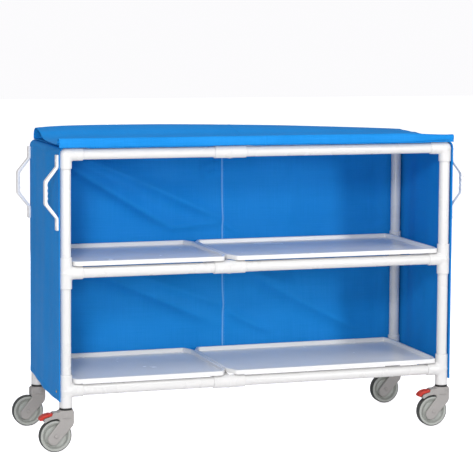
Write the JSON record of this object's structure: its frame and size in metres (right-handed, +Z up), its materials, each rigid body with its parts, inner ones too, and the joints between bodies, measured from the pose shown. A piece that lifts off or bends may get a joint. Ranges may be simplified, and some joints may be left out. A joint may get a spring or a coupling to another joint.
{
  "type": "linen trolley",
  "caption": "Covered linen trolley: white plastic pipe frame on swivel casters, tray shelves on two levels, blue fabric cover with fold-back front flap and grab handles.",
  "frame": {"origin": "on the floor under the middle of the bounding box, 15.4 mm left of the middle of the four posts because the casters trail to the left", "axes": "+X along the trolley's length to the right, +Y to the back (the open front faces -Y), +Z up"},
  "size_m": [1.7716, 0.544, 1.2146],
  "materials": {
    "pvc": "smooth white furniture-grade PVC, semi-gloss",
    "tray_plastic": "satin white moulded plastic",
    "cover_fabric": "royal blue woven nylon with a slight sheen",
    "handle_plastic": "satin white moulded plastic",
    "caster_plastic": "warm grey moulded plastic",
    "wheel_rubber": "grey non-marking rubber tread on a grey hub",
    "pedal_plastic": "red moulded plastic",
    "black_plastic": "black moulded plastic",
    "zinc_steel": "bright zinc-plated steel"
  },
  "bodies": {
    "trolley": {"post_front_left": "pvc", "elbow_front_left": "pvc", "tee_middle_front_left": "pvc", "tee_bottom_front_left": "pvc", "handle_front_left": "handle_plastic", "caster_stem_front_left": "black_plastic", "post_front_right": "pvc", "elbow_front_right": "pvc", "tee_middle_front_right": "pvc", "tee_bottom_front_right": "pvc", "handle_front_right": "handle_plastic", "caster_stem_front_right": "black_plastic", "post_back_left": "pvc", "elbow_back_left": "pvc", "tee_middle_back_left": "pvc", "tee_bottom_back_left": "pvc", "handle_back_left": "handle_plastic", "caster_stem_back_left": "black_plastic", "post_back_right": "pvc", "elbow_back_right": "pvc", "tee_middle_back_right": "pvc", "tee_bottom_back_right": "pvc", "handle_back_right": "handle_plastic", "caster_stem_back_right": "black_plastic", "rail_front_bottom": "pvc", "rail_back_bottom": "pvc", "side_rail_left_bottom": "pvc", "side_rail_right_bottom": "pvc", "cross_member_bottom": "pvc", "rail_front_middle": "pvc", "rail_back_middle": "pvc", "side_rail_left_middle": "pvc", "side_rail_right_middle": "pvc", "cross_member_middle": "pvc", "rail_front_top": "pvc", "rail_back_top": "pvc", "side_rail_left_top": "pvc", "side_rail_right_top": "pvc", "cross_member_top": "pvc", "tray_left_middle": "tray_plastic", "tray_right_middle": "tray_plastic", "tray_left_bottom": "tray_plastic", "tray_right_bottom": "tray_plastic", "cover_shell": "cover_fabric"},
    "swivel_front_left": {"caster_fork_front_left": "caster_plastic", "caster_axle_front_left": "zinc_steel"},
    "wheel_front_left": {"caster_wheel_front_left": "wheel_rubber"},
    "pedal_front_left": {"brake_pedal_front_left": "pedal_plastic"},
    "swivel_front_right": {"caster_fork_front_right": "caster_plastic", "caster_axle_front_right": "zinc_steel"},
    "wheel_front_right": {"caster_wheel_front_right": "wheel_rubber"},
    "pedal_front_right": {"brake_pedal_front_right": "pedal_plastic"},
    "swivel_back_left": {"caster_fork_back_left": "caster_plastic", "caster_axle_back_left": "zinc_steel"},
    "wheel_back_left": {"caster_wheel_back_left": "wheel_rubber"},
    "swivel_back_right": {"caster_fork_back_right": "caster_plastic", "caster_axle_back_right": "zinc_steel"},
    "wheel_back_right": {"caster_wheel_back_right": "wheel_rubber"},
    "flap_upper_half": {"flap_upper": "cover_fabric"},
    "flap_lower_half": {"flap_lower": "cover_fabric"}
  },
  "joints": [
    {"name": "caster_swivel_front_left", "type": "hinge", "parent": "trolley", "child": "swivel_front_left", "pos_m": [-0.77258, -0.2435, 0.15], "axis": [0, 0, 1], "continuous": true},
    {"name": "wheel_spin_front_left", "type": "hinge", "parent": "swivel_front_left", "child": "wheel_front_left", "pos_m": [-0.81458, -0.2435, 0.0625], "axis": [0, 1, 0], "continuous": true},
    {"name": "brake_press_front_left", "type": "hinge", "parent": "swivel_front_left", "child": "pedal_front_left", "pos_m": [-0.81758, -0.2435, 0.1425], "axis": [0, -1, 0], "range_deg": [0, 10]},
    {"name": "caster_swivel_front_right", "type": "hinge", "parent": "trolley", "child": "swivel_front_right", "pos_m": [0.80342, -0.2435, 0.15], "axis": [0, 0, 1], "continuous": true},
    {"name": "wheel_spin_front_right", "type": "hinge", "parent": "swivel_front_right", "child": "wheel_front_right", "pos_m": [0.76143, -0.2435, 0.0625], "axis": [0, 1, 0], "continuous": true},
    {"name": "brake_press_front_right", "type": "hinge", "parent": "swivel_front_right", "child": "pedal_front_right", "pos_m": [0.75843, -0.2435, 0.1425], "axis": [0, -1, 0], "range_deg": [0, 10]},
    {"name": "caster_swivel_back_left", "type": "hinge", "parent": "trolley", "child": "swivel_back_left", "pos_m": [-0.77258, 0.2435, 0.15], "axis": [0, 0, 1], "continuous": true},
    {"name": "wheel_spin_back_left", "type": "hinge", "parent": "swivel_back_left", "child": "wheel_back_left", "pos_m": [-0.81458, 0.2435, 0.0625], "axis": [0, 1, 0], "continuous": true},
    {"name": "caster_swivel_back_right", "type": "hinge", "parent": "trolley", "child": "swivel_back_right", "pos_m": [0.80342, 0.2435, 0.15], "axis": [0, 0, 1], "continuous": true},
    {"name": "wheel_spin_back_right", "type": "hinge", "parent": "swivel_back_right", "child": "wheel_back_right", "pos_m": [0.76143, 0.2435, 0.0625], "axis": [0, 1, 0], "continuous": true},
    {"name": "flap_front_hinge", "type": "hinge", "parent": "trolley", "child": "flap_upper_half", "pos_m": [0.01542, -0.2725, 1.1714], "axis": [1, 0, 0], "range_deg": [0, 270]},
    {"name": "flap_middle_fold", "type": "hinge", "parent": "flap_upper_half", "child": "flap_lower_half", "pos_m": [0.01542, 0.218, 1.1714], "axis": [-1, 0, 0], "range_deg": [0, 180]}
  ],
  "couplings": [
    {"joint": "flap_middle_fold", "follows": "flap_front_hinge", "ratio": 0.6666}
  ]
}
